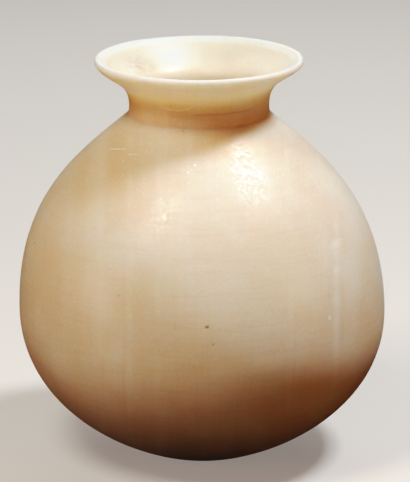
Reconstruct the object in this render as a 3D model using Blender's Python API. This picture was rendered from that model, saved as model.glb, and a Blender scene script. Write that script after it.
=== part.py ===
"""A globular jar of travertine (Egyptian alabaster) with a flared rim, cut and drilled from one block.

The jar is one turned wall, ground by hand: a round belly that is widest below its middle, a steep
shoulder that ends in a crease, a short neck, and a trumpet rim with a rounded lip. It is open at the
top and hollow down to a thick floor, and it stands on a small flat spot. Metres, +Z up, the origin
under the belly's middle on the surface that the jar stands on.
"""

import math

import bmesh
import bpy
from mathutils import Matrix, Vector

MM = 0.001

# The belly, from the flat spot up to the crease under the neck
FOOT_RADIUS = 27.5 * MM
BELLY_RADIUS = 113.5 * MM
BELLY_Z = 91.5 * MM
BODY_HEIGHT = 215.4 * MM

# The neck and the flare, each height counted from the end of the stretch below it
NECK_RADIUS = 43.1 * MM
CREASE_STEP = 0.3 * MM
NECK_RISE = 4.5 * MM
FLARE_REACH = 12.6 * MM
FLARE_RISE = 19.7 * MM
LIP_REACH = 8.4 * MM
LIP_RISE = 8.8 * MM
LIP_ROUND_HEIGHT = 1.6 * MM
LIP_ROUND_DEPTH = 1.2 * MM
LIP_FACE = 3.7 * MM

# Slopes of the outline from level, in degrees
FOOT_SLOPE = 13.0
SHOULDER_SLOPE = 42.0
FLARE_SLOPE = 34.0

# How far each curve holds its end direction, as a share of the rise or width that it spans
FOOT_HOLD = 0.32
BELLY_HOLD_BELOW = 0.635
BELLY_HOLD_ABOVE = 0.585
SHOULDER_HOLD = 0.295
NECK_HOLD = 0.63
FLARE_HOLD = 0.39
UNDER_LIP_HOLD = 0.5

# The wall
BELLY_WALL = 9.0 * MM
FLOOR_THICKNESS = 15.0 * MM
CAVITY_FLOOR_RADIUS = 30.0 * MM
NECK_WALL = 8.6 * MM
FLARE_WALL = 5.2 * MM
LIP_TOP_WIDTH = 2.2 * MM
THROAT_END_BELOW_CREASE = 6.5 * MM
THROAT_TOP_ABOVE_NECK = 5.0 * MM

# What the hand grinding left untrue
AXIS_DRIFT = 2.4 * MM
DRIFT_STARTS_Z = 40.0 * MM
DRIFT_ENDS_Z = 190.0 * MM
FLARE_SKEW = 1.0 * MM

# Facets
SIDES = 64
OUTER_STEPS_BELOW = 11
OUTER_STEPS_ABOVE = 9
INNER_STEPS_BELOW = 9
INNER_STEPS_ABOVE = 7
FLARE_STEPS = 7
LIP_STEPS = 3

# Heights and radii that follow from the sizes above
NECK_Z = BODY_HEIGHT + NECK_RISE
FLARE_Z = NECK_Z + FLARE_RISE
LIP_Z = FLARE_Z + LIP_RISE
HEIGHT = LIP_Z + LIP_ROUND_HEIGHT
FLARE_RADIUS = NECK_RADIUS + FLARE_REACH
RIM_RADIUS = FLARE_RADIUS + LIP_REACH
BORE_RADIUS = NECK_RADIUS - NECK_WALL

STONE_COLOUR = (0.80, 0.67, 0.48, 1.0)
STONE_ROUGHNESS = 0.38


def slope_of(degrees):
    """Unit direction in the (radius, z) plane, outwards and upwards at this slope from level."""
    return Vector((math.cos(math.radians(degrees)), math.sin(math.radians(degrees))))


def curve(start, start_handle, end_handle, end, steps):
    """Points of a cubic curve in the (radius, z) plane, its start left out so that curves can follow on."""
    points = []
    for step in range(1, steps + 1):
        t = step / steps
        near = start.lerp(start_handle, t)
        middle = start_handle.lerp(end_handle, t)
        far = end_handle.lerp(end, t)
        points.append(near.lerp(middle, t).lerp(middle.lerp(far, t), t))
    return points


def bulge(foot, widest, top, steps_below, steps_above):
    """The bulging line of the belly from its foot, over its widest ring, to the top of the shoulder."""
    rise = top.y - widest.y
    below = curve(
        foot,
        foot + FOOT_HOLD * (widest.x - foot.x) * slope_of(FOOT_SLOPE),
        widest - Vector((0.0, BELLY_HOLD_BELOW * (widest.y - foot.y))),
        widest,
        steps_below,
    )
    above = curve(
        widest,
        widest + Vector((0.0, BELLY_HOLD_ABOVE * rise)),
        top + SHOULDER_HOLD * rise * slope_of(-SHOULDER_SLOPE),
        top,
        steps_above,
    )
    return [foot] + below + above


def outside():
    """The outer profile from the flat spot's edge up to the top of the lip."""
    crease = Vector((NECK_RADIUS + CREASE_STEP, BODY_HEIGHT))
    neck = Vector((NECK_RADIUS, NECK_Z))
    flare = Vector((FLARE_RADIUS, FLARE_Z))
    lip = Vector((RIM_RADIUS, LIP_Z))
    profile = bulge(
        Vector((FOOT_RADIUS, 0.0)),
        Vector((BELLY_RADIUS, BELLY_Z)),
        crease,
        OUTER_STEPS_BELOW,
        OUTER_STEPS_ABOVE,
    )
    profile.append(neck)
    profile += curve(
        neck,
        neck + Vector((0.0, NECK_HOLD * FLARE_RISE)),
        flare - FLARE_HOLD * FLARE_RISE * slope_of(FLARE_SLOPE),
        flare,
        FLARE_STEPS,
    )
    profile += curve(
        flare,
        flare + UNDER_LIP_HOLD * LIP_REACH * slope_of(FLARE_SLOPE),
        lip - Vector((0.0, LIP_FACE)),
        lip,
        LIP_STEPS,
    )
    for step in range(1, LIP_STEPS + 1):
        turn = 0.5 * math.pi * step / LIP_STEPS
        inwards = LIP_ROUND_DEPTH * (1.0 - math.cos(turn))
        profile.append(lip + Vector((-inwards, LIP_ROUND_HEIGHT * math.sin(turn))))
    return profile


def inside():
    """The inner profile from the lip's inner edge, down the trumpet and the throat, to the floor's edge."""
    lip_inner_edge = Vector((RIM_RADIUS - LIP_ROUND_DEPTH - LIP_TOP_WIDTH, HEIGHT - 0.25 * LIP_ROUND_HEIGHT))
    flare = Vector((FLARE_RADIUS, FLARE_Z)) + FLARE_WALL * slope_of(FLARE_SLOPE + 90.0)
    throat = Vector((BORE_RADIUS, NECK_Z + THROAT_TOP_ABOVE_NECK))
    drop = flare.y - throat.y
    trumpet = [lip_inner_edge, flare] + curve(
        flare,
        flare - NECK_HOLD * drop * slope_of(FLARE_SLOPE),
        throat + Vector((0.0, NECK_HOLD * drop)),
        throat,
        FLARE_STEPS,
    )
    cavity = bulge(
        Vector((CAVITY_FLOOR_RADIUS, FLOOR_THICKNESS)),
        Vector((BELLY_RADIUS - BELLY_WALL, BELLY_Z)),
        Vector((BORE_RADIUS, BODY_HEIGHT - THROAT_END_BELOW_CREASE)),
        INNER_STEPS_BELOW,
        INNER_STEPS_ABOVE,
    )
    return trumpet + cavity[::-1]


def smooth_step(value, low, high):
    """0 below low, 1 above high, with a soft change between them."""
    share = min(1.0, max(0.0, (value - low) / (high - low)))
    return share * share * (3.0 - 2.0 * share)


def hand_ground(point):
    """Where a point of the true turned form lies on the jar, whose axis drifts and whose flare is askew."""
    drift = smooth_step(point.z, DRIFT_STARTS_Z, DRIFT_ENDS_Z)
    drift -= smooth_step(BELLY_Z, DRIFT_STARTS_Z, DRIFT_ENDS_Z)
    askew = smooth_step(point.z, BODY_HEIGHT, FLARE_Z) * (1.0 - smooth_step(point.z, FLARE_Z, HEIGHT))
    sideways = point.x / RIM_RADIUS
    return Vector((point.x - AXIS_DRIFT * drift, point.y, point.z + FLARE_SKEW * askew * sideways))


def stone():
    """Polished cream stone."""
    material = bpy.data.materials.new("travertine")
    material.use_nodes = True
    shader = material.node_tree.nodes["Principled BSDF"]
    shader.inputs["Base Color"].default_value = STONE_COLOUR
    shader.inputs["Roughness"].default_value = STONE_ROUGHNESS
    shader.inputs["Metallic"].default_value = 0.0
    return material


def jar():
    """The one carved piece: its profile spun about the axis, then closed by the flat spot and the floor."""
    work = bmesh.new()
    profile = [work.verts.new((point.x, 0.0, point.y)) for point in outside() + inside()]
    line = [work.edges.new(pair) for pair in zip(profile, profile[1:])]
    bmesh.ops.spin(
        work,
        geom=profile + line,
        cent=(0.0, 0.0, 0.0),
        axis=(0.0, 0.0, 1.0),
        angle=2.0 * math.pi,
        steps=SIDES,
        use_merge=True,
    )
    for face in work.faces:
        face.smooth = True
    open_edges = [edge for edge in work.edges if edge.is_boundary]
    flats = bmesh.ops.holes_fill(work, edges=open_edges, sides=0)["faces"]
    for face in flats:
        face.smooth = False
    for vert in work.verts:
        vert.co = hand_ground(vert.co)
    bmesh.ops.recalc_face_normals(work, faces=work.faces)
    mesh = bpy.data.meshes.new("jar")
    work.to_mesh(mesh)
    work.free()
    mesh.set_sharp_from_angle(angle=math.radians(35.0))
    mesh.materials.append(stone())
    piece = bpy.data.objects.new("jar", mesh)
    piece.matrix_world = Matrix.Identity(4)
    bpy.context.scene.collection.objects.link(piece)
    return piece


def main():
    for old in list(bpy.data.objects):
        bpy.data.objects.remove(old)
    jar()


main()
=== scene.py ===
"""The looks of a globular travertine jar: its ground and polished stone, a pale floor and soft light.

The jar is spun again from its profile with fine rings, so that the marks of grinding, a tool line on the
neck, an uneven lip and small pits are real relief. Metres, +Z up, -Y towards the camera's side.
"""

import math
import random

import bmesh
import bpy
from mathutils import Matrix, Vector, noise

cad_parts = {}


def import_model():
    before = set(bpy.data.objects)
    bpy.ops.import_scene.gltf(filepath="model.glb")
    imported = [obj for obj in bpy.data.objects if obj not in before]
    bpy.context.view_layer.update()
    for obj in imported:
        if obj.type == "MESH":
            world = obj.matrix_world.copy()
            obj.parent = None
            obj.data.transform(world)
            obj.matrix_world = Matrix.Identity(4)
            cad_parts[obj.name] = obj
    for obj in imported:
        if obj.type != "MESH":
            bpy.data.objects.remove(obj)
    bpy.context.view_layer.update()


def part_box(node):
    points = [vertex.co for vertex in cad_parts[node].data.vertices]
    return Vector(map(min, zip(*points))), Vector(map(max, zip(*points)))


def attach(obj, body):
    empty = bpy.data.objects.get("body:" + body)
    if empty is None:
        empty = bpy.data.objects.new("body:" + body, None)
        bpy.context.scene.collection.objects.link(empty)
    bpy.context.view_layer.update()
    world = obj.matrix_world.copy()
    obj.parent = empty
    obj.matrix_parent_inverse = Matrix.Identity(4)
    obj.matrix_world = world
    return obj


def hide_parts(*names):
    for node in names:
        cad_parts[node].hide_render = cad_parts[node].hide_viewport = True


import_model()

MM = 0.001

# The jar's overall size, from the frame
JAR_LOW, JAR_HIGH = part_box("jar")
HEIGHT = JAR_HIGH.z - JAR_LOW.z
BELLY_RADIUS = 0.5 * (JAR_HIGH.y - JAR_LOW.y)

# The belly, from the flat spot up to the crease under the neck
FOOT_RADIUS = 27.5 * MM
BELLY_Z = 91.5 * MM
BODY_HEIGHT = 215.4 * MM

# The neck, the flare and the lip
NECK_RADIUS = 43.1 * MM
CREASE_STEP = 0.3 * MM
NECK_RISE = 4.5 * MM
FLARE_REACH = 12.6 * MM
FLARE_RISE = 19.7 * MM
LIP_REACH = 8.4 * MM
LIP_ROUND_HEIGHT = 2.3 * MM
LIP_ROUND_DEPTH = 1.5 * MM
LIP_FACE = 3.0 * MM
LIP_INNER_DROP = 0.45 * MM

# Slopes of the outline from level, in degrees
FOOT_SLOPE = 13.0
SHOULDER_SLOPE = 42.0
FLARE_SLOPE = 34.0

# How far each curve holds its end direction, as a share of the rise or width that it spans
FOOT_HOLD = 0.32
BELLY_HOLD_BELOW = 0.635
BELLY_HOLD_ABOVE = 0.585
SHOULDER_HOLD = 0.295
NECK_HOLD = 0.63
FLARE_HOLD = 0.39
UNDER_LIP_HOLD = 0.5

# The wall
BELLY_WALL = 9.0 * MM
FLOOR_THICKNESS = 15.0 * MM
CAVITY_FLOOR_RADIUS = 30.0 * MM
NECK_WALL = 8.6 * MM
FLARE_WALL = 5.2 * MM
LIP_TOP_WIDTH = 1.9 * MM
THROAT_END_BELOW_CREASE = 6.5 * MM
THROAT_TOP_ABOVE_NECK = 5.0 * MM

# What the hand grinding left untrue
AXIS_DRIFT = 2.4 * MM
DRIFT_STARTS_Z = 40.0 * MM
DRIFT_ENDS_Z = 190.0 * MM
FLARE_SKEW = 1.0 * MM

NECK_Z = BODY_HEIGHT + NECK_RISE
FLARE_Z = NECK_Z + FLARE_RISE
LIP_Z = HEIGHT - LIP_ROUND_HEIGHT
FLARE_RADIUS = NECK_RADIUS + FLARE_REACH
RIM_RADIUS = FLARE_RADIUS + LIP_REACH
BORE_RADIUS = NECK_RADIUS - NECK_WALL

# How finely the surface is divided
SECTOR_DOUBLINGS = 4
SIDES = 16 * 2**SECTOR_DOUBLINGS
RING_SPACING = 2.2 * MM
FINE_RING_SPACING = 0.55 * MM
INNER_RING_SPACING = 0.75 * MM
HIDDEN_RING_SPACING = 5.0 * MM
LIP_ROUND_STEPS = 8

# Relief, all of it ground into the stone: how deep each kind goes and how long its waves are
SKIN = 0.06 * MM
SLOW_WAVE_DEPTH = 0.35 * MM
SLOW_WAVE_LENGTH = 70.0 * MM
QUICK_WAVE_DEPTH = 0.10 * MM
QUICK_WAVE_LENGTH = 19.0 * MM
QUICK_WAVE_FLATTENING = 1.7
FLAT_SPOT_FADE = 8.0 * MM
LIP_WAVE_DEPTH = 0.5 * MM
LIP_WAVE_LENGTH = 38.0 * MM
DRILL_RING_DEPTH = 0.35 * MM
DRILL_RING_SPACING = 2.9 * MM
DRILL_RING_WANDER = 0.8 * MM
DRILL_RING_WANDER_LENGTH = 25.0 * MM
DRILL_RING_PATCH_LENGTH = 30.0 * MM
TOOL_LINE_Z = 223.8 * MM
TOOL_LINE_DEPTH = 0.28 * MM
TOOL_LINE_HALF_WIDTH = 0.8 * MM
TOOL_LINE_TURNS = (-12.0, 52.0)
TOOL_LINE_FADE = 12.0
TOOL_LINE_WANDER = 0.5 * MM
TOOL_LINE_WANDER_TURN = 14.0
# The crease under the neck and the tool line are made a little darker
TOOL_LINE_DARKENING = 0.35
CREASE_DARKENING = 0.25
CREASE_DARKENING_HALF_WIDTH = 1.6 * MM
CREASE_DARKENING_LENGTH = 9.0 * MM
WAVE_SEEDS = {"slow": 1.7, "quick": 5.3, "lip": 8.1, "inside": 6.4, "drill": 3.1, "crease": 4.2}

# Small pits: the ones in front, as middle, half width, half height and depth in millimetres, and some behind
FRONT_PITS = (
    ((3.0, -112.1, 112.4), 1.6, 1.0, 0.9),
    ((6.5, -113.0, 102.2), 0.8, 0.7, 0.6),
    ((-102.1, -30.1, 140.7), 1.3, 1.0, 0.6),
    ((-107.3, -28.7, 123.2), 0.7, 1.8, 0.5),
    ((-49.4, -98.0, 127.7), 0.7, 0.7, 0.5),
    ((-11.3, -43.7, 214.2), 0.6, 0.5, 0.3),
)
BACK_PITS = 9
BACK_PIT_SEED = 12
BACK_PIT_TURN = 95.0
BACK_PIT_HEIGHTS = (35.0 * MM, 190.0 * MM)
BACK_PIT_SIZES = (0.6, 1.5)
BACK_PIT_STEEPNESS = 0.5
PIT_CUTS = 3
PIT_MARGIN = 2.5 * MM
PIT_RAGGEDNESS = 0.45
PIT_RAGGED_LENGTH = 0.7 * MM
PIT_SIDE = (0.25, 1.0)
PIT_DIRT = (0.1, 0.7)

# The stone's colours, and the colours of painted light and shade on it, as linear red, green and blue
CREAM = (0.80, 0.71, 0.565)
PALE_CREAM = (0.86, 0.80, 0.69)
HONEY = (0.76, 0.59, 0.38)
# Painted shade: a darker brown towards the foot stands in for the shade under the belly
FOOT_SHADE_BROWN = (0.38, 0.29, 0.27)
# Painted light: the paler creams of the neck, flare and lip are partly the stone's paler rim and partly the
# glow of light through the thin rim
RIM_CREAM_AND_GLOW = (0.98, 0.885, 0.82)
LIP_GLOW_WHITE = (0.99, 0.90, 0.79)
MOUTH_CREAM = (0.88, 0.73, 0.57)
LIGHT_POOL_WHITE = (0.99, 0.91, 0.81)
HOLLOW_CREAM = (0.80, 0.68, 0.50)
LAYER_WHITE = (0.93, 0.90, 0.80)
LAYER_TAN = (0.66, 0.47, 0.29)
FLECK_WHITE = (0.97, 0.95, 0.88)
SPECK_BROWN = (0.30, 0.20, 0.12)
DIRT_AND_DARKENING = (0.20, 0.17, 0.11)
SHADE_GREY = (0.52, 0.44, 0.34)
SHADOW_GREY_CREAM = (0.75, 0.66, 0.53)

# How far red light, and the shares of it that green and blue light, wander in the stone
SCATTER_LENGTH = 17.0 * MM
SCATTER_SHARES = (1.0, 0.69, 0.46)

# The polish: how rough it is, how much that varies from place to place, and the fine relief under it
ROUGHNESS = 0.44
ROUGHNESS_CHANGE = 0.13
ROUGHNESS_PATCH = 2.4 * MM
ROUGHNESS_SHOWN = (0.3, 0.7)
GLOSS = 0.62
CRYSTAL_RELIEF = 0.035 * MM
CRYSTAL_RELIEF_LENGTH = 1.9 * MM
STROKE_RELIEF = 0.03 * MM
STROKE_RELIEF_LENGTHS = (14.0 * MM, 14.0 * MM, 0.8 * MM)

# How much the pits' grime and the darkening in the crease and the tool line colour and dull the stone
DIRT_AND_DARKENING_SHARE = 0.55
DIRT_AND_DARKENING_ROUGHNESS = 0.9

# Between which heights each colour comes in or fades out
# The painted shade towards the foot comes in between these heights
FOOT_SHADE_Z = (22.0 * MM, 56.0 * MM)
FOOT_SHADE_SHARE = 0.36
# Painted light: the neck, flare and lip grow paler between these heights
RIM_GLOW_Z = (NECK_Z + 3.0 * MM, FLARE_Z - 2.0 * MM)
LIP_GLOW_Z = (LIP_Z - 5.0 * MM, LIP_Z - 1.0 * MM)
MOUTH_CREAM_Z = (NECK_Z - 5.0 * MM, FLARE_Z - 8.0 * MM)
INNER_LIP_GLOW_Z = (LIP_Z - 2.0 * MM, LIP_Z)
VEIN_LOW_Z = (50.0 * MM, 95.0 * MM)
VEIN_HIGH_Z = (150.0 * MM, 172.0 * MM)

# Uneven colour: how long its lumps are, and SHOWN says between which values of its noise it comes in, then
# how strongly at either end
CLOUD_LENGTH = 42.0 * MM
CLOUD_SHOWN = (0.38, 0.66)
WARM_CLOUD_PLACE = (0.3, 0.1, 0.7)
WARM_CLOUD_LENGTH = 33.0 * MM
WARM_CLOUD_SHOWN = (0.45, 0.75, 0.0, 0.3)
LAYER_WANDER = 1.3 * MM
LAYER_WANDER_LENGTH = 30.0 * MM
FINE_LAYER_LENGTHS = (2.2 * MM, 70.0 * MM, 60.0 * MM)
FINE_LAYER_SHOWN = (0.5, 0.8, 0.0, 0.12)
FINE_LAYER_BY_VEIN_SHOWN = (0.45, 0.7, 0.0, 0.4)
STROKE_LENGTHS = (30.0 * MM, 30.0 * MM, 2.0 * MM)
STROKE_SHOWN = (0.45, 0.75, 0.0, 0.16)
BROAD_LAYER_LENGTHS = (11.0 * MM, 160.0 * MM, 120.0 * MM)
BROAD_LAYER_SHOWN = (0.45, 0.75, 0.0, 0.35)
LAYER_BREAK_LENGTHS = (20.0 * MM, 30.0 * MM, 26.0 * MM)
LAYER_BREAK_SHOWN = (0.4, 0.65)
VEIN_BREAK_LENGTHS = (9.0 * MM, 14.0 * MM, 9.0 * MM)
VEIN_BREAK_SHOWN = (0.4, 0.62, 0.15, 0.6)
CRYSTAL_LENGTH = 1.7 * MM
PALE_CRYSTAL_SHOWN = (0.55, 0.75, 0.0, 0.30)
HONEY_CRYSTAL_SHOWN = (0.25, 0.45, 0.25, 0.0)
SCRATCH_BREAK_LENGTH = 2.0 * MM
SCRATCH_BREAK_SHOWN = (0.35, 0.6, 0.3, 1.0)
SHADE_BREAK_LENGTH = 4.0 * MM
SHADE_BREAK_SHOWN = (0.35, 0.65, 0.3, 1.0)

# Dots scattered through the stone: their spacing and radius, and the share of the cells that has one; then
# how strong they are
WHITE_DOTS = (9.0 * MM, 0.9 * MM, 0.3)
WHITE_DOT_SHARE = 0.5
BROWN_DOTS = (12.0 * MM, 0.7 * MM, 0.2)
BROWN_DOT_SHARE = 0.35
BROWN_DOT_PLACE = (0.5, 0.2, 0.9)

# Marks in the colour, with middles and half sizes in millimetres; a last number is a strength from 0 to 1
CLOUD_SOFTNESS = 0.9
# Painted shadow: honey clouds where the rim's shadow falls on the neck and shoulder, and on the shaded left
# side
SHADOW_HONEY_CLOUDS = (
    ((-10.0, -40.0, 216.0), (60.0, 20.0, 9.0), 0.3),
    ((-62.0, -45.0, 194.0), (66.0, 74.0, 50.0), 1.0),
    ((14.0, -50.0, 208.0), (46.0, 30.0, 16.0), 1.0),
    ((-88.0, -60.0, 132.0), (46.0, 60.0, 50.0), 0.4),
)
PALE_CLOUD = ((14.0, -108.0, 114.0), (78.0, 50.0, 64.0))
PALE_CLOUD_STRENGTH = 0.6

# The vein and the layers beside it are upright planes: x and half width. A knot has its height, half length,
# half width and strength
VEIN_X = 80.0
VEIN_HALF_WIDTH = 3.4
VEIN_LEAST_SHARE = 0.15
BY_VEIN_X = 70.0
BY_VEIN_HALF_WIDTH = 9.0
VEIN_KNOT_Y = -66.0
VEIN_KNOT_HALF_DEPTH = 60.0
VEIN_KNOTS = (
    (149.0, 5.0, 5.0, 0.9),
    (135.0, 4.5, 3.2, 1.0),
    (118.0, 12.0, 3.8, 0.75),
    (95.0, 8.0, 3.6, 0.5),
)
FAINT_LAYERS = ((-60.0, 4.0, 0.3), (-43.0, 3.5, 0.35), (-26.0, 3.0, 0.2), (52.0, 3.0, 0.2))

# Flecks have a middle and a radius, scratches two ends and a half width
BRIGHT_FLECKS = (
    ((76.3, -82.4, 109.3), 1.9),
    ((-4.1, -63.1, 198.3), 1.5),
    ((-8.2, -66.6, 194.9), 1.2),
)
SCRATCHES = (
    ((-56.7, -28.7, 199.3), (-46.2, -38.8, 201.9), 0.6),
    ((-44.3, -43.9, 200.1), (-38.8, -47.3, 201.0), 0.6),
    ((-25.1, -37.5, 227.5), (-19.1, -40.3, 226.3), 0.7),
    ((-19.1, -40.3, 226.3), (-13.1, -42.3, 226.2), 0.7),
    ((-13.1, -42.3, 226.2), (-5.9, -44.3, 228.5), 0.7),
    ((-5.9, -44.3, 228.5), (0.7, -45.9, 231.4), 0.6),
)

# The mouth's far side: patches of painted shade, a painted pool of light, and a painted shadow that starts at
# an upright edge
MOUTH_SHADE_PATCHES = (
    ((-40.0, 27.0, 238.0), (19.0, 17.0, 9.0), 0.75),
    ((19.0, 46.0, 238.0), (13.0, 14.0, 8.0), 0.35),
)
MOUTH_LIGHT_POOL = ((-18.0, 45.0, 241.0), (24.0, 24.0, 16.0))
MOUTH_SHADOW = ((16.0, 46.0, 240.0), (28.0, 20.0, 16.0))
MOUTH_SHADOW_SOFTNESS = 0.8
MOUTH_SHADOW_SHARE = 0.75
MOUTH_SHADOW_EDGE = -1.0
MOUTH_SHADOW_EDGE_SOFTNESS = 1.0
MOUTH_SHADOW_WANDER = 1.0 * MM
MOUTH_SHADOW_WANDER_LENGTH = 12.0 * MM

# The view of the photograph: the camera's place, and the scale of the picture at the jar's axis
IMAGE_HEIGHT = 482.0
SENSOR = 36.0
PIXELS_PER_METRE = 1619.0
CAMERA_DISTANCE = 2.0
CAMERA_ELEVATION = 15.943
CAMERA_TARGET = Vector((1.85 * MM, 0.0, 133.4 * MM))

# The lights, all aimed at the camera's target from this distance: azimuth, elevation, width, height, watts
# and colour
LIGHT_DISTANCE = 1.6
LIGHTS = {
    "right_softbox": (85.0, 63.0, 0.32, 0.32, 17.9, (1.0, 1.0, 1.0)),
    "left_softbox": (-38.0, 55.0, 0.45, 0.6, 10.7, (1.0, 0.94, 0.80)),
    "left_fill": (-62.0, 8.0, 0.8, 0.6, 5.3, (1.0, 0.52, 0.30)),
    "right_fill": (62.0, 7.0, 0.8, 0.6, 3.3, (1.0, 0.40, 0.12)),
    "front_fill": (0.0, 12.0, 0.8, 0.6, 2.1, (1.0, 0.66, 0.50)),
    "back_fill": (180.0, 30.0, 1.2, 0.6, 3.4, (1.0, 0.91, 0.80)),
}

# The room behind the floor, and how much of its brightness the gloss mirrors
ROOM_GREY = (0.62, 0.62, 0.64)
ROOM_IN_GLOSS = 0.05

# The floor, a wide disc that glows a little
FLOOR_RADIUS = 12.0
FLOOR_SIDES = 96
FLOOR_COLOUR = (0.6, 0.59, 0.57)
FLOOR_ROUGHNESS = 0.9
FLOOR_GLOW_COLOUR = (1.0, 0.98, 0.95)
FLOOR_GLOW = 0.16

# The film's response: light in the scene, and how bright it is shown
FILM_TONES = ((0.03, 0.017), (0.10, 0.10), (0.183, 0.24), (0.333, 0.448), (0.607, 0.705), (0.85, 0.91))
FILM_WHITE = 0.975


def slope_of(degrees):
    """Unit direction in the (radius, z) plane, outwards and upwards at this slope from level."""
    return Vector((math.cos(math.radians(degrees)), math.sin(math.radians(degrees))))


def curve(start, start_handle, end_handle, end, spacing):
    """Points of a cubic curve in the (radius, z) plane, about spacing apart, its start left out."""
    legs = (start_handle - start).length + (end_handle - start_handle).length + (end - end_handle).length
    steps = max(2, round(0.5 * (legs + (end - start).length) / spacing))
    points = []
    for step in range(1, steps + 1):
        t = step / steps
        near = start.lerp(start_handle, t)
        middle = start_handle.lerp(end_handle, t)
        far = end_handle.lerp(end, t)
        points.append(near.lerp(middle, t).lerp(middle.lerp(far, t), t))
    return points


def straight(start, end, spacing):
    """Points of a straight line, about spacing apart, its start left out."""
    steps = max(1, round((end - start).length / spacing))
    return [start.lerp(end, step / steps) for step in range(1, steps + 1)]


def bulge(foot, widest, top, spacing):
    """The bulging line of the belly from its foot, over its widest ring, to the top of the shoulder."""
    rise = top.y - widest.y
    below = curve(
        foot,
        foot + FOOT_HOLD * (widest.x - foot.x) * slope_of(FOOT_SLOPE),
        widest - Vector((0.0, BELLY_HOLD_BELOW * (widest.y - foot.y))),
        widest,
        spacing,
    )
    above = curve(
        widest,
        widest + Vector((0.0, BELLY_HOLD_ABOVE * rise)),
        top + SHOULDER_HOLD * rise * slope_of(-SHOULDER_SLOPE),
        top,
        spacing,
    )
    return [foot] + below + above


def outside():
    """The outer profile from the flat spot's edge up to the top of the lip."""
    crease = Vector((NECK_RADIUS + CREASE_STEP, BODY_HEIGHT))
    neck = Vector((NECK_RADIUS, NECK_Z))
    flare = Vector((FLARE_RADIUS, FLARE_Z))
    lip = Vector((RIM_RADIUS, LIP_Z))
    profile = bulge(Vector((FOOT_RADIUS, 0.0)), Vector((BELLY_RADIUS, BELLY_Z)), crease, RING_SPACING)
    profile += straight(crease, neck, FINE_RING_SPACING)
    profile += curve(
        neck,
        neck + Vector((0.0, NECK_HOLD * FLARE_RISE)),
        flare - FLARE_HOLD * FLARE_RISE * slope_of(FLARE_SLOPE),
        flare,
        FINE_RING_SPACING,
    )
    profile += curve(
        flare,
        flare + UNDER_LIP_HOLD * LIP_REACH * slope_of(FLARE_SLOPE),
        lip - Vector((0.0, LIP_FACE)),
        lip,
        FINE_RING_SPACING,
    )
    for step in range(1, LIP_ROUND_STEPS + 1):
        turn = 0.5 * math.pi * step / LIP_ROUND_STEPS
        inwards = LIP_ROUND_DEPTH * (1.0 - math.cos(turn))
        profile.append(lip + Vector((-inwards, LIP_ROUND_HEIGHT * math.sin(turn))))
    return profile


def inside():
    """The inner profile from the lip's inner edge, down the trumpet and the throat, to the floor's edge."""
    lip_inner_edge = Vector((RIM_RADIUS - LIP_ROUND_DEPTH - LIP_TOP_WIDTH, HEIGHT - LIP_INNER_DROP))
    flare = Vector((FLARE_RADIUS, FLARE_Z)) + FLARE_WALL * slope_of(FLARE_SLOPE + 90.0)
    throat = Vector((BORE_RADIUS, NECK_Z + THROAT_TOP_ABOVE_NECK))
    throat_end = Vector((BORE_RADIUS, BODY_HEIGHT - THROAT_END_BELOW_CREASE))
    drop = flare.y - throat.y
    profile = [lip_inner_edge] + straight(lip_inner_edge, flare, INNER_RING_SPACING)
    profile += curve(
        flare,
        flare - NECK_HOLD * drop * slope_of(FLARE_SLOPE),
        throat + Vector((0.0, NECK_HOLD * drop)),
        throat,
        INNER_RING_SPACING,
    )
    profile += straight(throat, throat_end, INNER_RING_SPACING)
    cavity = bulge(
        Vector((CAVITY_FLOOR_RADIUS, FLOOR_THICKNESS)),
        Vector((BELLY_RADIUS - BELLY_WALL, BELLY_Z)),
        throat_end,
        HIDDEN_RING_SPACING,
    )
    return profile + cavity[-2::-1]


def smooth_step(value, low, high):
    """0 below low, 1 above high, with a soft change between them."""
    share = min(1.0, max(0.0, (value - low) / (high - low)))
    return share * share * (3.0 - 2.0 * share)


def hand_ground(point):
    """Where a point of the true turned form lies on the jar, whose axis drifts and whose flare is askew."""
    drift = smooth_step(point.z, DRIFT_STARTS_Z, DRIFT_ENDS_Z)
    drift -= smooth_step(BELLY_Z, DRIFT_STARTS_Z, DRIFT_ENDS_Z)
    askew = smooth_step(point.z, BODY_HEIGHT, FLARE_Z) * (1.0 - smooth_step(point.z, FLARE_Z, HEIGHT))
    sideways = point.x / RIM_RADIUS
    return Vector((point.x - AXIS_DRIFT * drift, point.y, point.z + FLARE_SKEW * askew * sideways))


def turn_of(point):
    """Degrees round the jar from the camera's side, positive to the right."""
    return math.degrees(math.atan2(point.x, -point.y))


def waves(point, length, kind):
    """Smooth noise from 0 to 1 with waves of this length, different for each kind."""
    seed = WAVE_SEEDS[kind]
    return 0.5 + 0.5 * noise.noise(point / length + Vector((seed, 2.0 * seed, 3.0 * seed)))


def tool_line(point):
    """Depth of the line that a tool left round part of the neck."""
    turn = turn_of(point)
    start, end = TOOL_LINE_TURNS
    coming = smooth_step(turn, start, start + TOOL_LINE_FADE)
    going = smooth_step(turn, end - TOOL_LINE_FADE, end)
    wander = TOOL_LINE_WANDER * noise.noise(Vector((turn / TOOL_LINE_WANDER_TURN, 0.0, 0.0)))
    away = abs(point.z - TOOL_LINE_Z - wander) / TOOL_LINE_HALF_WIDTH
    return TOOL_LINE_DEPTH * coming * (1.0 - going) * max(0.0, 1.0 - away * away)


def outer_depth(point):
    """How deep the finished surface lies under the true form, on the outside and on the lip."""
    slow = SLOW_WAVE_DEPTH * waves(point, SLOW_WAVE_LENGTH, "slow")
    stretched = Vector((point.x, point.y, QUICK_WAVE_FLATTENING * point.z))
    quick = QUICK_WAVE_DEPTH * waves(stretched, QUICK_WAVE_LENGTH, "quick")
    at_lip = smooth_step(point.z, LIP_Z - LIP_FACE, HEIGHT)
    lip = at_lip * LIP_WAVE_DEPTH * waves(point, LIP_WAVE_LENGTH, "lip")
    fade = smooth_step(point.z, 0.0, FLAT_SPOT_FADE)
    return fade * (SKIN + slow + quick) + lip + tool_line(point)


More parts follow.
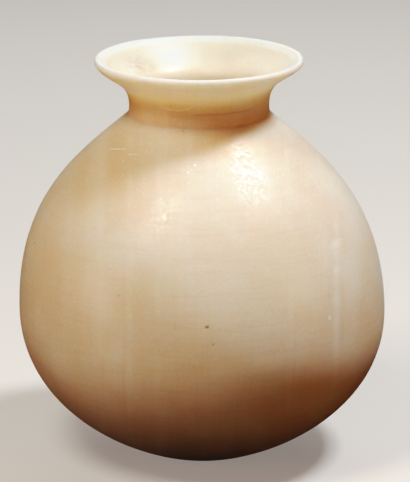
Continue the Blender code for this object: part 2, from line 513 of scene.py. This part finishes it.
def inner_depth(point):
    """How deep the finished surface lies under the true form inside: waves, and rings left by the drill."""
    height = point.z + DRILL_RING_WANDER * noise.noise(point / DRILL_RING_WANDER_LENGTH)
    ring = 0.5 + 0.5 * math.sin(2.0 * math.pi * height / DRILL_RING_SPACING)
    drilled = 1.0 - smooth_step(point.z, NECK_Z, NECK_Z + 2.0 * THROAT_TOP_ABOVE_NECK)
    rings = DRILL_RING_DEPTH * drilled * ring * waves(point, DRILL_RING_PATCH_LENGTH, "drill")
    return SKIN + QUICK_WAVE_DEPTH * waves(point, QUICK_WAVE_LENGTH, "inside") + rings


def crease_and_tool_line_darkening(point):
    """How much darker the outside is made: a little in the crease under the neck and in the tool line."""
    near_crease = max(0.0, 1.0 - abs(point.z - BODY_HEIGHT) / CREASE_DARKENING_HALF_WIDTH)
    crease = CREASE_DARKENING * near_crease * waves(point, CREASE_DARKENING_LENGTH, "crease")
    return crease + TOOL_LINE_DARKENING * tool_line(point) / TOOL_LINE_DEPTH


def spun_jar():
    """The true turned form with fine rings, as a bmesh whose "hollow" layer is 1 on the inner wall.

    One sector is spun and then doubled until the ring closes, which is quicker than one full spin.
    """
    work = bmesh.new()
    hollow = work.verts.layers.float.new("hollow")
    work.verts.layers.float.new("dirt_and_darkening")
    outer = [work.verts.new((point.x, 0.0, point.y)) for point in outside()]
    inner = [work.verts.new((point.x, 0.0, point.y)) for point in inside()]
    for vert in inner:
        vert[hollow] = 1.0
    profile = outer + inner
    line = [work.edges.new(pair) for pair in zip(profile, profile[1:])]
    sector = 2.0 * math.pi / 2**SECTOR_DOUBLINGS
    bmesh.ops.spin(
        work,
        geom=profile + line,
        cent=(0.0, 0.0, 0.0),
        axis=(0.0, 0.0, 1.0),
        angle=sector,
        steps=SIDES // 2**SECTOR_DOUBLINGS,
    )
    for doubling in range(SECTOR_DOUBLINGS):
        copy = bmesh.ops.duplicate(work, geom=work.verts[:] + work.edges[:] + work.faces[:])
        turned = [item for item in copy["geom"] if isinstance(item, bmesh.types.BMVert)]
        turn = Matrix.Rotation(sector * 2**doubling, 3, "Z")
        bmesh.ops.rotate(work, verts=turned, cent=(0.0, 0.0, 0.0), matrix=turn)
    bmesh.ops.remove_doubles(work, verts=work.verts, dist=0.01 * MM)
    return work


def close_flats(work):
    """Fills the flat spot underneath and the cavity's floor, with smooth walls and flat ends."""
    for face in work.faces:
        face.smooth = True
    open_edges = [edge for edge in work.edges if edge.is_boundary]
    flats = bmesh.ops.holes_fill(work, edges=open_edges, sides=0)["faces"]
    for face in flats:
        face.smooth = False
    for edge in open_edges:
        edge.smooth = False
    bmesh.ops.recalc_face_normals(work, faces=work.faces)


def grind(work):
    """Sinks the surface by its relief. Nothing is raised, so the jar stays within its true form."""
    hollow = work.verts.layers.float["hollow"]
    dirt_and_darkening = work.verts.layers.float["dirt_and_darkening"]
    work.normal_update()
    sunk = []
    for vert in work.verts:
        inner = vert[hollow] > 0.5
        depth = inner_depth(vert.co) if inner else outer_depth(vert.co)
        sunk.append((vert, vert.co - depth * vert.normal))
        if not inner:
            vert[dirt_and_darkening] = crease_and_tool_line_darkening(vert.co)
    for vert, place in sunk:
        vert.co = hand_ground(place)


def pits(work):
    """Each pit's middle, half width, half height and depth in metres: the ones in front, then some behind."""
    listed = []
    for middle, width, height, depth in FRONT_PITS:
        listed.append((Vector(middle) * MM, MM * width, MM * height, MM * depth))
    hollow = work.verts.layers.float["hollow"]
    low, high = BACK_PIT_HEIGHTS
    behind = [
        vert.co.copy()
        for vert in work.verts
        if vert[hollow] < 0.5 and low < vert.co.z < high and abs(turn_of(vert.co)) > BACK_PIT_TURN
    ]
    draw = random.Random(BACK_PIT_SEED)
    for middle in draw.sample(behind, BACK_PITS):
        width = MM * draw.uniform(*BACK_PIT_SIZES)
        height = MM * draw.uniform(*BACK_PIT_SIZES)
        listed.append((middle, width, height, BACK_PIT_STEEPNESS * width))
    return listed


def sink_pit(work, middle, half_width, half_height, depth):
    """Divides the surface round a pit's place and sinks it there, with a ragged edge and grime in it."""
    dirt_and_darkening = work.verts.layers.float["dirt_and_darkening"]
    reach = max(half_width, half_height) + PIT_MARGIN
    near = [face for face in work.faces if (face.calc_center_median() - middle).length < reach]
    edges = {edge for face in near for edge in face.edges}
    bmesh.ops.subdivide_edges(work, edges=list(edges), cuts=PIT_CUTS, use_grid_fill=True)
    outwards = Vector((middle.x, middle.y, 0.0)).normalized()
    for vert in work.verts:
        away = vert.co - middle
        if away.length > reach:
            continue
        sideways = (away - away.dot(outwards) * outwards).to_2d().length / half_width
        ragged = 1.0 + PIT_RAGGEDNESS * noise.noise(vert.co / PIT_RAGGED_LENGTH)
        share = ragged * math.hypot(sideways, away.z / half_height)
        sunk = 1.0 - smooth_step(share, *PIT_SIDE)
        vert.co -= depth * sunk * outwards
        vert[dirt_and_darkening] = max(vert[dirt_and_darkening], smooth_step(sunk, *PIT_DIRT))


def jar_mesh():
    """The carved jar with its relief: one closed body."""
    work = spun_jar()
    close_flats(work)
    grind(work)
    for pit in pits(work):
        sink_pit(work, *pit)
    mesh = bpy.data.meshes.new("carved_jar")
    work.to_mesh(mesh)
    work.free()
    return mesh


def node(tree, kind, **settings):
    """A new shader node with its own settings."""
    made = tree.nodes.new("ShaderNode" + kind)
    for name, value in settings.items():
        setattr(made, name, value)
    return made


def feed(tree, socket, value):
    """Links an output into a socket, or gives the socket a plain value."""
    if isinstance(value, bpy.types.NodeSocket):
        tree.links.new(value, socket)
    else:
        socket.default_value = value


def calculate(tree, operation, *values):
    """One step of arithmetic on numbers."""
    made = node(tree, "Math", operation=operation)
    for socket, value in zip(made.inputs, values):
        feed(tree, socket, value)
    return made.outputs[0]


def vector(tree, operation, *values, output="Vector"):
    """One step of arithmetic on vectors."""
    made = node(tree, "VectorMath", operation=operation)
    for socket, value in zip(made.inputs, values):
        feed(tree, socket, value)
    return made.outputs[output]


def soft_step(tree, value, low, high, start=0.0, end=1.0):
    """Start where the value is below low, end where it is above high, and a soft change between them."""
    made = node(tree, "MapRange", interpolation_type="SMOOTHSTEP")
    feed(tree, made.inputs["Value"], value)
    made.inputs["From Min"].default_value = low
    made.inputs["From Max"].default_value = high
    made.inputs["To Min"].default_value = start
    made.inputs["To Max"].default_value = end
    return made.outputs["Result"]


def tint(tree, share, ground, colour):
    """The ground colour with this share of another colour on it."""
    made = node(tree, "Mix", data_type="RGBA")
    share_socket, ground_socket, colour_socket = made.inputs[0], made.inputs[6], made.inputs[7]
    feed(tree, share_socket, share)
    feed(tree, ground_socket, (*ground, 1.0) if isinstance(ground, tuple) else ground)
    feed(tree, colour_socket, (*colour, 1.0) if isinstance(colour, tuple) else colour)
    return made.outputs[2]


def clouds(tree, place, length, detail=2.0):
    """Noise about 0.5, whose lumps are about this long in metres."""
    made = node(tree, "TexNoise")
    feed(tree, made.inputs["Vector"], place)
    made.inputs["Scale"].default_value = 1.0 / length
    made.inputs["Detail"].default_value = detail
    return made.outputs["Fac"]


def streaks(tree, place, lengths, detail=2.0):
    """Noise about 0.5 with its own lump length along each axis, in metres."""
    return clouds(tree, vector(tree, "DIVIDE", place, lengths), 1.0, detail)


def dots(tree, place, spacing, radius, share):
    """1 on small round dots in the stone, in this share of the cells of this spacing."""
    cells = node(tree, "TexVoronoi")
    feed(tree, cells.inputs["Vector"], place)
    cells.inputs["Scale"].default_value = 1.0 / spacing
    chance = node(tree, "SeparateColor")
    feed(tree, chance.inputs[0], cells.outputs["Color"])
    chosen = calculate(tree, "LESS_THAN", chance.outputs[0], share)
    near = soft_step(tree, cells.outputs["Distance"], 0.5 * radius / spacing, radius / spacing, 1.0, 0.0)
    return calculate(tree, "MULTIPLY", chosen, near)


def spot(tree, place, middle, half_sizes, soft=0.6):
    """1 round a middle in millimetres, fading to 0 at these half sizes along the three axes."""
    away = vector(tree, "SUBTRACT", place, tuple(MM * value for value in middle))
    share = vector(tree, "DIVIDE", away, tuple(MM * value for value in half_sizes))
    reach = vector(tree, "LENGTH", share, output="Value")
    return soft_step(tree, reach, 1.0 - soft, 1.0, 1.0, 0.0)


def scratch(tree, place, start, end, half_width):
    """1 on a straight scratch between two points in millimetres, fading out across its half width."""
    first = Vector(start) * MM
    run = Vector(end) * MM - first
    away = vector(tree, "SUBTRACT", place, tuple(first))
    along = vector(tree, "DOT_PRODUCT", away, tuple(run / run.length_squared), output="Value")
    along = calculate(tree, "MINIMUM", calculate(tree, "MAXIMUM", along, 0.0), 1.0)
    nearest = node(tree, "VectorMath", operation="SCALE")
    nearest.inputs[0].default_value = tuple(run)
    feed(tree, nearest.inputs["Scale"], along)
    gap = vector(tree, "DISTANCE", away, nearest.outputs[0], output="Value")
    return soft_step(tree, gap, 0.3 * MM * half_width, MM * half_width, 1.0, 0.0)


def either(tree, masks):
    """The strongest of several masks."""
    strongest = masks[0]
    for mask in masks[1:]:
        strongest = calculate(tree, "MAXIMUM", strongest, mask)
    return strongest


def wandering(tree, place, length, reach):
    """The place, pushed about by up to this reach, so that what is drawn on it wanders."""
    made = node(tree, "TexNoise")
    feed(tree, made.inputs["Vector"], place)
    made.inputs["Scale"].default_value = 1.0 / length
    push = vector(tree, "SUBTRACT", made.outputs["Color"], (0.5, 0.5, 0.5))
    scaled = node(tree, "VectorMath", operation="SCALE")
    feed(tree, scaled.inputs[0], push)
    scaled.inputs["Scale"].default_value = 2.0 * reach
    return vector(tree, "ADD", place, scaled.outputs[0])


def parts_of(tree, place):
    """The x and z of a place."""
    split = node(tree, "SeparateXYZ")
    feed(tree, split.inputs[0], place)
    return split.outputs["X"], split.outputs["Z"]


def layer(tree, x, middle, half_width):
    """1 in an upright layer of the stone that faces the sides."""
    away = calculate(tree, "ABSOLUTE", calculate(tree, "SUBTRACT", x, MM * middle))
    return soft_step(tree, away, 0.0, MM * half_width, 1.0, 0.0)


def weaker(tree, mask, share):
    """The mask at this share of its strength."""
    return calculate(tree, "MULTIPLY", mask, share)


def ground_colour(tree, place):
    """Cloudy cream with honey painted shadow under the rim and on the left, painted shade browner towards the
    foot, painted light paler in the thin rim, and its own creams inside.
    """
    z = parts_of(tree, place)[1]
    cloudy = soft_step(tree, clouds(tree, place, CLOUD_LENGTH, detail=3.0), *CLOUD_SHOWN)
    colour = tint(tree, cloudy, CREAM, PALE_CREAM)
    elsewhere = vector(tree, "ADD", place, WARM_CLOUD_PLACE)
    warm = soft_step(tree, clouds(tree, elsewhere, WARM_CLOUD_LENGTH, detail=3.0), *WARM_CLOUD_SHOWN)
    colour = tint(tree, warm, colour, HONEY)
    # Painted shadow: honey under the rim and on the left side
    for middle, half_sizes, strength in SHADOW_HONEY_CLOUDS:
        shadow_cloud = spot(tree, place, middle, half_sizes, CLOUD_SOFTNESS)
        colour = tint(tree, weaker(tree, shadow_cloud, strength), colour, HONEY)
    pale = spot(tree, place, *PALE_CLOUD, CLOUD_SOFTNESS)
    colour = tint(tree, weaker(tree, pale, PALE_CLOUD_STRENGTH), colour, PALE_CREAM)
    # Painted light: paler neck, flare and lip, partly for the glow of light through the thin rim
    colour = tint(tree, soft_step(tree, z, *RIM_GLOW_Z), colour, RIM_CREAM_AND_GLOW)
    colour = tint(tree, soft_step(tree, z, *LIP_GLOW_Z), colour, LIP_GLOW_WHITE)
    # Painted shade: darker and browner towards the foot
    colour = tint(tree, soft_step(tree, z, *FOOT_SHADE_Z, FOOT_SHADE_SHARE, 0.0), colour, FOOT_SHADE_BROWN)
    hollow = node(tree, "Attribute", attribute_name="hollow").outputs["Fac"]
    inner = tint(tree, soft_step(tree, z, *MOUTH_CREAM_Z), HOLLOW_CREAM, MOUTH_CREAM)
    # Painted light: the inner lip paler, for the glow of light through it
    inner = tint(tree, soft_step(tree, z, *INNER_LIP_GLOW_Z), inner, LIP_GLOW_WHITE)
    return tint(tree, hollow, colour, inner)


def vein(tree, bent, x, z):
    """The knotted white vein: faint and uneven between its ends, and strong at its knots."""
    uneven = soft_step(tree, streaks(tree, bent, VEIN_BREAK_LENGTHS, detail=1.0), *VEIN_BREAK_SHOWN)
    above = soft_step(tree, z, *VEIN_LOW_Z)
    below = soft_step(tree, z, *VEIN_HIGH_Z, 1.0, 0.0)
    shown = soft_step(tree, calculate(tree, "MULTIPLY", above, below), 0.0, 1.0, VEIN_LEAST_SHARE, 1.0)
    plane = calculate(tree, "MULTIPLY", layer(tree, x, VEIN_X, VEIN_HALF_WIDTH), uneven)
    masks = [calculate(tree, "MULTIPLY", plane, shown)]
    for height, half_length, half_width, strength in VEIN_KNOTS:
        middle = (VEIN_X, VEIN_KNOT_Y, height)
        half_sizes = (half_width, VEIN_KNOT_HALF_DEPTH, half_length)
        masks.append(weaker(tree, spot(tree, bent, middle, half_sizes, CLOUD_SOFTNESS), strength))
    return either(tree, masks)


def layered(tree, place, colour):
    """Thin upright layers of the stone, level strokes of the grinding, and one white vein to the right."""
    bent = wandering(tree, place, LAYER_WANDER_LENGTH, LAYER_WANDER)
    x, z = parts_of(tree, bent)
    fine = streaks(tree, bent, FINE_LAYER_LENGTHS, detail=3.0)
    colour = tint(tree, soft_step(tree, fine, *FINE_LAYER_SHOWN), colour, LAYER_TAN)
    strokes = streaks(tree, place, STROKE_LENGTHS, detail=3.0)
    colour = tint(tree, soft_step(tree, strokes, *STROKE_SHOWN), colour, LAYER_TAN)
    broad = streaks(tree, bent, BROAD_LAYER_LENGTHS)
    colour = tint(tree, soft_step(tree, broad, *BROAD_LAYER_SHOWN), colour, PALE_CREAM)
    broken = soft_step(tree, streaks(tree, place, LAYER_BREAK_LENGTHS), *LAYER_BREAK_SHOWN)
    by_vein = layer(tree, x, BY_VEIN_X, BY_VEIN_HALF_WIDTH)
    by_vein = calculate(tree, "MULTIPLY", by_vein, soft_step(tree, fine, *FINE_LAYER_BY_VEIN_SHOWN))
    colour = tint(tree, calculate(tree, "MULTIPLY", by_vein, broken), colour, LAYER_WHITE)
    for middle, half_width, strength in FAINT_LAYERS:
        shown = weaker(tree, broken, strength)
        faint = calculate(tree, "MULTIPLY", layer(tree, x, middle, half_width), shown)
        colour = tint(tree, faint, colour, LAYER_WHITE)
    return tint(tree, vein(tree, bent, x, z), colour, LAYER_WHITE)


def speckled(tree, place, colour):
    """Fine crystals, white flecks and brown specks, with the few flecks that stand out in front."""
    crystal = clouds(tree, place, CRYSTAL_LENGTH)
    colour = tint(tree, soft_step(tree, crystal, *PALE_CRYSTAL_SHOWN), colour, FLECK_WHITE)
    colour = tint(tree, soft_step(tree, crystal, *HONEY_CRYSTAL_SHOWN), colour, HONEY)
    flecks = [weaker(tree, dots(tree, place, *WHITE_DOTS), WHITE_DOT_SHARE)]
    for middle, radius in BRIGHT_FLECKS:
        flecks.append(spot(tree, place, middle, (radius, radius, radius)))
    colour = tint(tree, either(tree, flecks), colour, FLECK_WHITE)
    brown = dots(tree, vector(tree, "ADD", place, BROWN_DOT_PLACE), *BROWN_DOTS)
    return tint(tree, weaker(tree, brown, BROWN_DOT_SHARE), colour, SPECK_BROWN)


def marked(tree, place, colour):
    """Old scratches on the shoulder and neck, and in the mouth a painted pool of light, a painted shadow and
    patches of painted shade.
    """
    scratches = either(tree, [scratch(tree, place, *line) for line in SCRATCHES])
    broken = soft_step(tree, clouds(tree, place, SCRATCH_BREAK_LENGTH, detail=1.0), *SCRATCH_BREAK_SHOWN)
    colour = tint(tree, calculate(tree, "MULTIPLY", scratches, broken), colour, FLECK_WHITE)
    # Painted light: a white pool of light on the mouth's far wall
    colour = tint(tree, spot(tree, place, *MOUTH_LIGHT_POOL, CLOUD_SOFTNESS), colour, LIGHT_POOL_WHITE)
    # Painted shadow: greyer to the right of an upright edge, where the rim shades the mouth
    x = parts_of(tree, wandering(tree, place, MOUTH_SHADOW_WANDER_LENGTH, MOUTH_SHADOW_WANDER))[0]
    edge_start = MM * (MOUTH_SHADOW_EDGE - MOUTH_SHADOW_EDGE_SOFTNESS)
    edge_end = MM * (MOUTH_SHADOW_EDGE + MOUTH_SHADOW_EDGE_SOFTNESS)
    edge = soft_step(tree, x, edge_start, edge_end)
    painted_shadow = calculate(tree, "MULTIPLY", edge, spot(tree, place, *MOUTH_SHADOW, MOUTH_SHADOW_SOFTNESS))
    colour = tint(tree, weaker(tree, painted_shadow, MOUTH_SHADOW_SHARE), colour, SHADOW_GREY_CREAM)
    # Painted shade: mottled grey patches in the mouth
    mottled = soft_step(tree, clouds(tree, place, SHADE_BREAK_LENGTH, detail=3.0), *SHADE_BREAK_SHOWN)
    for middle, half_sizes, strength in MOUTH_SHADE_PATCHES:
        shade_patch = calculate(tree, "MULTIPLY", spot(tree, place, middle, half_sizes, CLOUD_SOFTNESS), mottled)
        colour = tint(tree, weaker(tree, shade_patch, strength), colour, SHADE_GREY)
    return colour


def relief(tree, place, shader):
    """Fine relief under the polish: crystals, and the level strokes of the grinding."""
    crystals = weaker(tree, clouds(tree, place, CRYSTAL_RELIEF_LENGTH), CRYSTAL_RELIEF)
    strokes = weaker(tree, streaks(tree, place, STROKE_RELIEF_LENGTHS), STROKE_RELIEF)
    bump = node(tree, "Bump")
    bump.inputs["Distance"].default_value = 1.0
    feed(tree, bump.inputs["Height"], calculate(tree, "ADD", crystals, strokes))
    feed(tree, shader.inputs["Normal"], bump.outputs["Normal"])


def travertine():
    """Layered cream travertine, polished by hand, with light wandering in it."""
    material = bpy.data.materials.new("travertine")
    material.use_nodes = True
    tree = material.node_tree
    shader = tree.nodes["Principled BSDF"]
    place = node(tree, "TexCoord").outputs["Object"]
    colour = ground_colour(tree, place)
    colour = layered(tree, place, colour)
    colour = speckled(tree, place, colour)
    colour = marked(tree, place, colour)
    # Darker in the pits, the crease and the tool line
    dirt_and_darkening = node(tree, "Attribute", attribute_name="dirt_and_darkening").outputs["Fac"]
    feed(tree, shader.inputs["Base Color"], tint(tree, weaker(tree, dirt_and_darkening, DIRT_AND_DARKENING_SHARE), colour, DIRT_AND_DARKENING))
    patches = clouds(tree, place, ROUGHNESS_PATCH)
    smoothest = ROUGHNESS - ROUGHNESS_CHANGE
    roughest = ROUGHNESS + ROUGHNESS_CHANGE
    polish = soft_step(tree, patches, *ROUGHNESS_SHOWN, smoothest, roughest)
    dull = weaker(tree, dirt_and_darkening, DIRT_AND_DARKENING_ROUGHNESS)
    feed(tree, shader.inputs["Roughness"], calculate(tree, "MAXIMUM", polish, dull))
    relief(tree, place, shader)
    shader.inputs["Specular IOR Level"].default_value = GLOSS
    shader.inputs["Subsurface Weight"].default_value = 1.0
    shader.inputs["Subsurface Radius"].default_value = SCATTER_SHARES
    shader.inputs["Subsurface Scale"].default_value = SCATTER_LENGTH
    return material


def direction_from(azimuth, elevation):
    """Unit direction from the jar: azimuth 0 is the camera's side, positive to the right, both in degrees."""
    turn = math.radians(azimuth)
    rise = math.radians(elevation)
    return Vector((math.sin(turn) * math.cos(rise), -math.cos(turn) * math.cos(rise), math.sin(rise)))


def softbox(name, azimuth, elevation, width, height, watts, colour):
    """A rectangular soft light aimed at the jar's middle."""
    lamp = bpy.data.lights.new(name, "AREA")
    lamp.shape = "RECTANGLE"
    lamp.size = width
    lamp.size_y = height
    lamp.energy = watts
    lamp.color = colour
    holder = bpy.data.objects.new(name, lamp)
    way = direction_from(azimuth, elevation)
    holder.location = CAMERA_TARGET + LIGHT_DISTANCE * way
    holder.rotation_mode = "QUATERNION"
    holder.rotation_quaternion = way.to_track_quat("Z", "Y")
    bpy.context.scene.collection.objects.link(holder)


def camera():
    """The photograph's camera, whose lens gives the picture its scale."""
    data = bpy.data.cameras.new("camera")
    data.sensor_width = SENSOR
    data.lens = SENSOR * PIXELS_PER_METRE * CAMERA_DISTANCE / IMAGE_HEIGHT
    holder = bpy.data.objects.new("camera", data)
    way = direction_from(0.0, CAMERA_ELEVATION)
    holder.location = CAMERA_TARGET + CAMERA_DISTANCE * way
    holder.rotation_mode = "QUATERNION"
    holder.rotation_quaternion = way.to_track_quat("Z", "Y")
    bpy.context.scene.collection.objects.link(holder)
    bpy.context.scene.camera = holder


def floor():
    """The pale floor. The jar's stone doesn't mirror it, and takes no light from it."""
    mesh = bpy.data.meshes.new("floor")
    work = bmesh.new()
    bmesh.ops.create_circle(work, cap_ends=True, radius=FLOOR_RADIUS, segments=FLOOR_SIDES)
    work.to_mesh(mesh)
    work.free()
    material = bpy.data.materials.new("pale_floor")
    material.use_nodes = True
    shader = material.node_tree.nodes["Principled BSDF"]
    shader.inputs["Base Color"].default_value = (*FLOOR_COLOUR, 1.0)
    shader.inputs["Roughness"].default_value = FLOOR_ROUGHNESS
    shader.inputs["Emission Color"].default_value = (*FLOOR_GLOW_COLOUR, 1.0)
    shader.inputs["Emission Strength"].default_value = FLOOR_GLOW
    mesh.materials.append(material)
    piece = bpy.data.objects.new("floor", mesh)
    bpy.context.scene.collection.objects.link(piece)
    piece.visible_diffuse = False
    piece.visible_glossy = False


def world():
    """A pale room, seen behind the floor's far edge and faintly in the jar's gloss. It lights nothing."""
    room = bpy.data.worlds.new("studio")
    room.use_nodes = True
    tree = room.node_tree
    background = tree.nodes["Background"]
    background.inputs["Color"].default_value = (*ROOM_GREY, 1.0)
    path = node(tree, "LightPath")
    mirrored = calculate(tree, "MULTIPLY", path.outputs["Is Glossy Ray"], ROOM_IN_GLOSS)
    seen = calculate(tree, "MAXIMUM", path.outputs["Is Camera Ray"], mirrored)
    feed(tree, background.inputs["Strength"], seen)
    bpy.context.scene.world = room


def film():
    """The picture's tones: a soft shoulder for the lights, and shadows a little deeper than they are."""
    view = bpy.context.scene.view_settings
    view.view_transform = "Standard"
    view.use_curve_mapping = True
    tones = view.curve_mapping.curves[3]
    tones.points[1].location = (1.0, FILM_WHITE)
    for light, shown in FILM_TONES:
        tones.points.new(light, shown)
    view.curve_mapping.update()


def main():
    """The jar on its floor, lit and seen as in the photograph."""
    jar = bpy.data.objects.new("carved_jar", jar_mesh())
    jar.data.materials.append(travertine())
    bpy.context.scene.collection.objects.link(jar)
    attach(jar, "root")
    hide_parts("jar")
    floor()
    world()
    for name, light in LIGHTS.items():
        softbox(name, *light)
    camera()
    film()


main()
